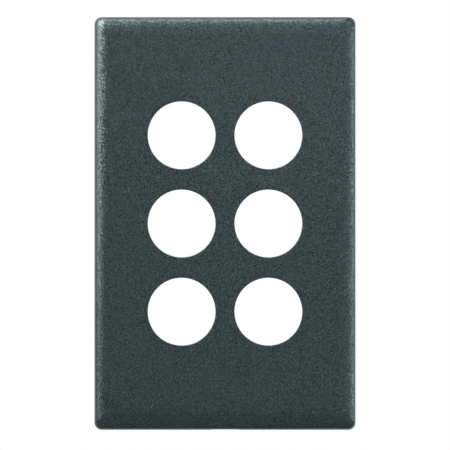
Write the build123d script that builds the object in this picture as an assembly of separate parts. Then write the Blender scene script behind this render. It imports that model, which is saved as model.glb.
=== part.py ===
# Six-gang switch cover plate: one clip-on moulding that hides the mounting frame of six round switches.
#
# Frame: +X to the right and +Z up, seen from the front, with the face towards -Y. The origin is the
# centre of the back rim, which lies on the wall at y = 0. A height is a distance out from the wall, and
# an inset is a distance in from the rim. Lengths are in millimetres and angles in degrees.
from build123d import *
import os
from math import cos, isclose, radians, tan

# Outline and walls
plate_width = 74.0
plate_height = 117.0
plate_depth = 8.0  # from the wall to the face
corner_radius = 2.1
face_thickness = 2.0
skirt_thickness = 1.6
side_draft = 4.0  # lean of the four sides, which lets the moulding leave its tool

# Rolled edge, which carries the sides over into the face
edge_run = 5.0  # from the rim in to where the face is flat
edge_drop = 3.2  # from the face down to where the side begins
edge_fullness = 0.7  # weight of the conic: 0.5 is slack, 1 is full

# The same roll inside, which keeps the wall even
inner_corner_radius = 0.5
inner_edge_run = 3.4  # from the skirt's inner face
inner_edge_drop = 1.2

# Holes for the round switch mechanisms
hole_columns = 2
hole_rows = 3
hole_pitch_x = 24.6
hole_pitch_z = 25.0
hole_diameter = 19.2
hole_edge_break = 0.2  # chamfer on the face
hole_lead_in = 0.4  # chamfer that guides a mechanism in from behind
collar_wall = 1.2
collar_height = 1.5  # how far a collar stands out behind the face

# Fit on the mounting frame behind the plate
stop_height = 3.0  # where the frame's lip bears on the stop ribs
lip_thickness = 1.4
lip_clearance = 0.1

# Clip hooks along the two long sides
hook_pitch = 62.0  # between the two hooks of one side
hook_width = 8.0
hook_thickness = 1.2
hook_gap = 0.9  # room behind a hook to bend back in
hook_tip_height = 0.4
barb_depth = 0.7
barb_land = 0.3  # straight part of the barb below its catch

# Stop ribs, two on each short side and one midway along each long side
rib_thickness = 1.0
rib_reach = 3.5  # from the skirt's inner face
rib_pitch = 40.0  # between the two ribs of a short side

# Notch in the bottom edge for a screwdriver that lifts the plate off
notch_width = 8.0
notch_height = 1.2
notch_corner_radius = 0.4

cut_margin = 1.0  # how far a cutting shape runs past what it cuts

# Sizes that follow from those above
ceiling_height = plate_depth - face_thickness
collar_end_height = ceiling_height - collar_height
catch_height = stop_height - lip_thickness - lip_clearance
hole_radius = hole_diameter / 2
half_width = plate_width / 2
half_height = plate_height / 2
quarter_circle_weight = cos(radians(45))

# Drawing planes: the wall, seen from the front, and a level cut, with its second axis out of the wall
wall = Plane.XZ
level = Plane((0, 0, 0), x_dir=(1, 0, 0), z_dir=(0, 0, -1))


def outline(inset, height, radius):
    """Plan outline of the plate, drawn in by an inset, at a height out from the wall."""
    plan = RectangleRounded(plate_width - 2 * inset, plate_height - 2 * inset, radius)
    return wall.offset(height) * plan


def corner_points(inset, height, radius):
    """Start, knee and end of each quarter circle of that outline, one corner after the other."""
    x = half_width - inset
    z = half_height - inset
    right_to_top = [(x, z - radius), (x, z), (x - radius, z)]
    top_to_left = [(radius - x, z), (-x, z), (-x, z - radius)]
    upper = [right_to_top, top_to_left]
    lower = [[(-u, -v) for u, v in corner] for corner in upper]
    return [[(u, -height, v) for u, v in corner] for corner in upper + lower]


def roll_patch(rows, weights):
    """Exact face of the roll over its three rows of control points: shoulder, knee and top."""
    return Face.make_bezier_surface(
        rows, [[row_weight * weight for weight in weights] for row_weight in (1, edge_fullness, 1)]
    )


def rolled_block(rim_inset, radius, top, run, drop):
    """Solid block with drafted sides that roll over into a flat top.

    The roll is a conic, tangent to the side and to the top. Its corner is a quarter circle slid along
    that conic, so the corner radius is the same at every height, even where it is less than the run.
    """
    lean = tan(radians(side_draft))
    shoulder = top - drop
    start = (rim_inset + shoulder * lean, shoulder)
    knee = (rim_inset + top * lean, top)
    end = (rim_inset + run, top)
    rows = [corner_points(*point, radius) for point in (start, knee, end)]
    corners = list(zip(*rows))
    faces = [outline(*point, radius).face() for point in (start, end)]
    for before, corner in zip(corners[-1:] + corners, corners):
        side = [(row_before[-1], row[0]) for row_before, row in zip(before, corner)]
        faces.append(roll_patch(side, (1, 1)))
        faces.append(roll_patch(corner, (1, quarter_circle_weight, 1)))
    sides = loft([outline(rim_inset, 0, radius), outline(*start, radius)], ruled=True)
    return sides + Solid(Shell(faces))


def at_holes(shape):
    """Copies of a shape that is drawn at the middle of the plate, one at each hole."""
    places = GridLocations(hole_pitch_x, hole_pitch_z, hole_columns, hole_rows)
    return [Pos(place.position.X, 0, place.position.Y) * shape for place in places]


def standing(plan, low, high):
    """A plan shape stood up between two heights."""
    return extrude(wall.offset(low) * plan, high - low)


def collars():
    """Discs that stiffen the edges of the holes behind the face, before the holes are cut."""
    disc = Circle(hole_radius + collar_wall)
    return at_holes(standing(disc, collar_end_height, plate_depth))


def clip_hooks():
    """Straight tongues with a barb that points inwards and grips the lip of the mounting frame."""
    back = half_width - skirt_thickness - hook_gap
    front = back - hook_thickness
    barb = front - barb_depth
    section = make_face(
        Polyline(
            (back, plate_depth),
            (back, hook_tip_height),
            (front, hook_tip_height),
            (barb, catch_height - barb_land),
            (barb, catch_height),
            (front, catch_height),
            (front, plate_depth),
            close=True,
        )
    )
    hook = extrude(level * section, hook_width / 2, both=True)
    right = [Pos(0, 0, z) * hook for z in (-hook_pitch / 2, hook_pitch / 2)]
    return right + [mirror(copy, Plane.YZ) for copy in right]


def stop_ribs():
    """Short ribs off the skirt whose ends rest on the lip of the mounting frame."""
    length = skirt_thickness + rib_reach
    upright = standing(Rectangle(rib_thickness, length), stop_height, plate_depth)
    across = standing(Rectangle(length, rib_thickness), stop_height, plate_depth)
    top = [Pos(x, 0, half_height - length / 2) * upright for x in (-rib_pitch / 2, rib_pitch / 2)]
    right = [Pos(half_width - length / 2, 0, 0) * across]
    bottom = [mirror(rib, Plane.XY) for rib in top]
    left = [mirror(rib, Plane.YZ) for rib in right]
    return top + bottom + right + left


def pry_notch():
    """Low arch through the bottom of the skirt, at the wall."""
    arch = RectangleRounded(notch_width, 2 * notch_height, notch_corner_radius)
    start = half_height - skirt_thickness - cut_margin
    return extrude(level.offset(start) * arch, skirt_thickness + 2 * cut_margin)


def hole_rims(plate, height):
    """The round edges of the six holes at a height."""
    circles = plate.edges().filter_by(GeomType.CIRCLE)
    same_size = circles.filter_by(lambda edge: isclose(edge.radius, hole_radius))
    return same_size.filter_by(lambda edge: isclose(edge.arc_center.Y, -height))


def cover_plate():
    """The moulding: an outer block less its core, which is grooved for all that stands behind the face."""
    skin = rolled_block(0, corner_radius, plate_depth, edge_run, edge_drop)
    core = rolled_block(
        skirt_thickness, inner_corner_radius, ceiling_height, inner_edge_run, inner_edge_drop
    )
    core -= collars() + clip_hooks() + stop_ribs()
    hole = standing(Circle(hole_radius), -cut_margin, plate_depth + cut_margin)
    plate = skin - core - at_holes(hole) - pry_notch()
    plate = chamfer(hole_rims(plate, plate_depth), hole_edge_break)
    return chamfer(hole_rims(plate, collar_end_height), hole_lead_in)


os.makedirs("parts", exist_ok=True)
export_step(cover_plate(), "parts/cover_plate.step")
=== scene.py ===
import bpy
import numpy as np
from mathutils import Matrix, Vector


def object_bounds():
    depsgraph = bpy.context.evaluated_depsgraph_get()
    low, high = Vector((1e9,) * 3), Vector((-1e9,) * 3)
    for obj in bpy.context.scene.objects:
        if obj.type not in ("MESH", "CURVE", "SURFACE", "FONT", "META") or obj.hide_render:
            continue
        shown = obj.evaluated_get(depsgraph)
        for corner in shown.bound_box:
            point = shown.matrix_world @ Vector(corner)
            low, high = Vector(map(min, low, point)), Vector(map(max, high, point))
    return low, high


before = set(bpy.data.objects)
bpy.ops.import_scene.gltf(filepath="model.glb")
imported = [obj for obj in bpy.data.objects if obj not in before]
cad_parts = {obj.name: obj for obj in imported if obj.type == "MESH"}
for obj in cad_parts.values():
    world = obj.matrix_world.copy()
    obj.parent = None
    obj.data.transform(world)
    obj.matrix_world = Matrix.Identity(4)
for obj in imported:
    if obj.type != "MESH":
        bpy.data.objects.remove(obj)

cad_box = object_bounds()
MM = 0.001

# What the camera takes in on the plane of the plate, and how far off it stands
VIEW_SIDE_MM = 127.6
VIEW_CENTRE_Z_MM = -0.44
CAMERA_DISTANCE_MM = 600


def linear(hex_colour):
    """Linear RGBA of an sRGB colour that is written as six hex digits."""
    srgb = np.array([int(hex_colour[i:i + 2], 16) for i in (0, 2, 4)]) / 255
    rgb = np.where(srgb <= 0.04045, srgb / 12.92, ((srgb + 0.055) / 1.055) ** 2.4)
    return (*rgb.tolist(), 1.0)


def add_node(tree, kind, inputs=None, **settings):
    """Add a node with its own settings. Each input is a value for that socket or the output to link to it."""
    node = tree.nodes.new(kind)
    for name, value in settings.items():
        setattr(node, name, value)
    for socket, value in (inputs or {}).items():
        if isinstance(value, bpy.types.NodeSocket):
            tree.links.new(value, node.inputs[socket])
        else:
            node.inputs[socket].default_value = value
    return node


def new_material(name):
    """An empty node material and its tree."""
    material = bpy.data.materials.new(name)
    material.use_nodes = True
    material.node_tree.nodes.clear()
    return material, material.node_tree


def moulded_flake_plastic():
    """Dark plastic full of fine aluminium flake, moulded against a spark-eroded tool.

    Each flake has its own shade and gloss, and leans a little out of the surface. So the plate is speckled
    like fine sand, glints along its rolled edges, and has a broad gloss in the blue-grey of the plastic.
    The real flakes are about 0.05 mm, too fine to show, so they are drawn at 0.13 mm.
    """
    flake_mm = 0.13
    darkest, lightest = 0.0, 2.0  # a flake's share of the mean colour
    glossiest, dullest = 0.25, 0.51  # a flake's roughness
    most_lean = 0.24  # how far a flake's normal, of length 1, is pushed along each axis
    material, tree = new_material("moulded_flake_plastic")
    place = add_node(tree, "ShaderNodeTexCoord").outputs["Object"]
    flake = add_node(tree, "ShaderNodeTexVoronoi", {"Vector": place, "Scale": 1 / (flake_mm * MM)})
    chance = add_node(tree, "ShaderNodeSeparateColor", {"Color": flake.outputs["Color"]})
    shade = add_node(
        tree,
        "ShaderNodeMapRange",
        {"Value": chance.outputs["Green"], "To Min": darkest, "To Max": lightest},
    )
    colour = add_node(
        tree,
        "ShaderNodeVectorMath",
        {0: linear("313b3c")[:3], "Scale": shade.outputs["Result"]},
        operation="SCALE",
    )
    roughness = add_node(
        tree,
        "ShaderNodeMapRange",
        {"Value": chance.outputs["Red"], "To Min": glossiest, "To Max": dullest},
    )
    lean = add_node(
        tree,
        "ShaderNodeVectorMath",
        {0: flake.outputs["Color"], 1: (2 * most_lean,) * 3, 2: (-most_lean,) * 3},
        operation="MULTIPLY_ADD",
    )
    leaning = add_node(
        tree,
        "ShaderNodeVectorMath",
        {0: add_node(tree, "ShaderNodeNewGeometry").outputs["Normal"], 1: lean.outputs["Vector"]},
        operation="ADD",
    )
    normal = add_node(tree, "ShaderNodeVectorMath", {0: leaning.outputs["Vector"]}, operation="NORMALIZE")
    surface = add_node(
        tree,
        "ShaderNodeBsdfPrincipled",
        {
            "Base Color": colour.outputs["Vector"],
            "Metallic": 0.9,
            "Roughness": roughness.outputs["Result"],
            "Specular IOR Level": 0.0,
            "Specular Tint": linear("bbbdbd"),
            "Normal": normal.outputs["Vector"],
        },
    )
    add_node(tree, "ShaderNodeOutputMaterial", {"Surface": surface.outputs["BSDF"]})
    return material


def ray_kinds(tree):
    """Two outputs: 1 for rays straight from the camera, and 1 for rays off gloss or through glass."""
    path = add_node(tree, "ShaderNodeLightPath").outputs
    reflected = add_node(
        tree,
        "ShaderNodeMath",
        {0: path["Is Glossy Ray"], 1: path["Is Transmission Ray"]},
        operation="MAXIMUM",
    )
    return path["Is Camera Ray"], reflected.outputs["Value"]


def matte_floor():
    """Pale grey painted board, rolled flat: it scatters light evenly and takes a soft shadow.

    Away from the plate the camera sees it fade into the white of the studio, and reflections show only white.
    """
    fade_start, fade_end = 0.07, 0.2  # metres from the middle of the plate
    material, tree = new_material("matte_pale_floor")
    board = add_node(
        tree,
        "ShaderNodeBsdfPrincipled",
        {"Base Color": linear("8f9594"), "Roughness": 0.9, "Specular IOR Level": 0.0},
    )
    place = add_node(tree, "ShaderNodeTexCoord").outputs["Object"]
    distance = add_node(tree, "ShaderNodeVectorMath", {0: place}, operation="LENGTH")
    far = add_node(
        tree,
        "ShaderNodeMapRange",
        {"Value": distance.outputs["Value"], "From Min": fade_start, "From Max": fade_end},
        interpolation_type="SMOOTHSTEP",
    )
    from_camera, reflected = ray_kinds(tree)
    faded = add_node(tree, "ShaderNodeMath", {0: far.outputs["Result"], 1: from_camera}, operation="MULTIPLY")
    whiteness = add_node(
        tree, "ShaderNodeMath", {0: faded.outputs["Value"], 1: reflected}, operation="MAXIMUM"
    )
    white = add_node(tree, "ShaderNodeEmission", {"Color": linear("ffffff"), "Strength": 1.0})
    surface = add_node(
        tree,
        "ShaderNodeMixShader",
        {0: whiteness.outputs["Value"], 1: board.outputs["BSDF"], 2: white.outputs["Emission"]},
    )
    add_node(tree, "ShaderNodeOutputMaterial", {"Surface": surface.outputs["Shader"]})
    return material


def floor():
    """Flat square of floor at the height of the plate's lower edge."""
    reach = 3.0
    z = cad_box[0].z
    mesh = bpy.data.meshes.new("floor")
    mesh.from_pydata(
        [(-reach, -reach, z), (reach, -reach, z), (reach, reach, z), (-reach, reach, z)], [], [(0, 1, 2, 3)]
    )
    mesh.materials.append(matte_floor())
    board = bpy.data.objects.new("floor", mesh)
    bpy.context.scene.collection.objects.link(board)


def white_studio(ambient):
    """White all round for the camera and for reflections, and a dimmer even light on the object."""
    world = bpy.data.worlds.new("studio")
    bpy.context.scene.world = world
    world.use_nodes = True
    tree = world.node_tree
    tree.nodes.clear()
    from_camera, reflected = ray_kinds(tree)
    seen = add_node(tree, "ShaderNodeMath", {0: from_camera, 1: reflected}, operation="MAXIMUM")
    strength = add_node(
        tree, "ShaderNodeMapRange", {"Value": seen.outputs["Value"], "To Min": ambient, "To Max": 1.0}
    )
    white = add_node(
        tree, "ShaderNodeBackground", {"Color": linear("ffffff"), "Strength": strength.outputs["Result"]}
    )
    add_node(tree, "ShaderNodeOutputWorld", {"Surface": white.outputs["Background"]})


def softbox(name, place, size, power, colour="ffffff"):
    """Rectangular soft light at a place, turned towards the middle of the plate. Metres and watts."""
    lamp = bpy.data.lights.new(name, "AREA")
    lamp.shape = "RECTANGLE"
    lamp.size, lamp.size_y = size
    lamp.energy = power
    lamp.color = linear(colour)[:3]
    box = bpy.data.objects.new(name, lamp)
    box.location = place
    box.rotation_mode = "QUATERNION"
    box.rotation_quaternion = (-Vector(place)).to_track_quat("-Z", "Y")
    box.visible_camera = False
    bpy.context.scene.collection.objects.link(box)


def camera():
    """Straight-on camera without perspective, framed as the photograph is."""
    lens = bpy.data.cameras.new("camera")
    lens.type = "ORTHO"
    lens.ortho_scale = VIEW_SIDE_MM * MM
    eye = bpy.data.objects.new("camera", lens)
    eye.location = (0, -CAMERA_DISTANCE_MM * MM, VIEW_CENTRE_Z_MM * MM)
    eye.rotation_mode = "QUATERNION"
    eye.rotation_quaternion = Vector((0, 1, 0)).to_track_quat("-Z", "Y")
    bpy.context.scene.collection.objects.link(eye)
    bpy.context.scene.camera = eye


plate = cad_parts["cover_plate"]
plate.material_slots[0].material = moulded_flake_plastic()

floor()
white_studio(ambient=0.3)

# The left and upper edges are the brightest, most of all the corner between them
softbox("left", (-0.365, 0.09, -0.002), (0.28, 0.11), 0.57, "fff4f1")
softbox("left_near", (-0.2, 0.05, 0.035), (0.12, 0.05), 0.19, "fff4f1")
softbox("key", (-0.17, -0.02, 0.105), (0.1, 0.1), 0.5, "fff4f1")
softbox("corner", (-0.12, 0.003, 0.16), (0.08, 0.08), 0.9, "fff0f2")
softbox("top", (-0.02, -0.04, 0.55), (0.5, 0.5), 1.65)
softbox("top_back", (-0.13, 0.33, 0.58), (0.2, 0.2), 4.4, "fff4f4")

# The right edge has a thinner line of light
softbox("right", (0.6, -0.02, 0.02), (0.15, 0.15), 1.0)
softbox("right_back", (0.6, 0.42, -0.02), (0.15, 0.15), 4.4, "fff2fa")
softbox("right_top", (0.26, 0.0, 0.3), (0.12, 0.12), 0.47)

# The face is even, and a little lighter towards the top
softbox("front", (0.0, -0.22, 0.1), (0.12, 0.06), 0.12)
softbox("fill", (0.3, -0.3, 0.2), (0.45, 0.45), 0.75)

camera()
bpy.context.scene.view_settings.view_transform = "Standard"
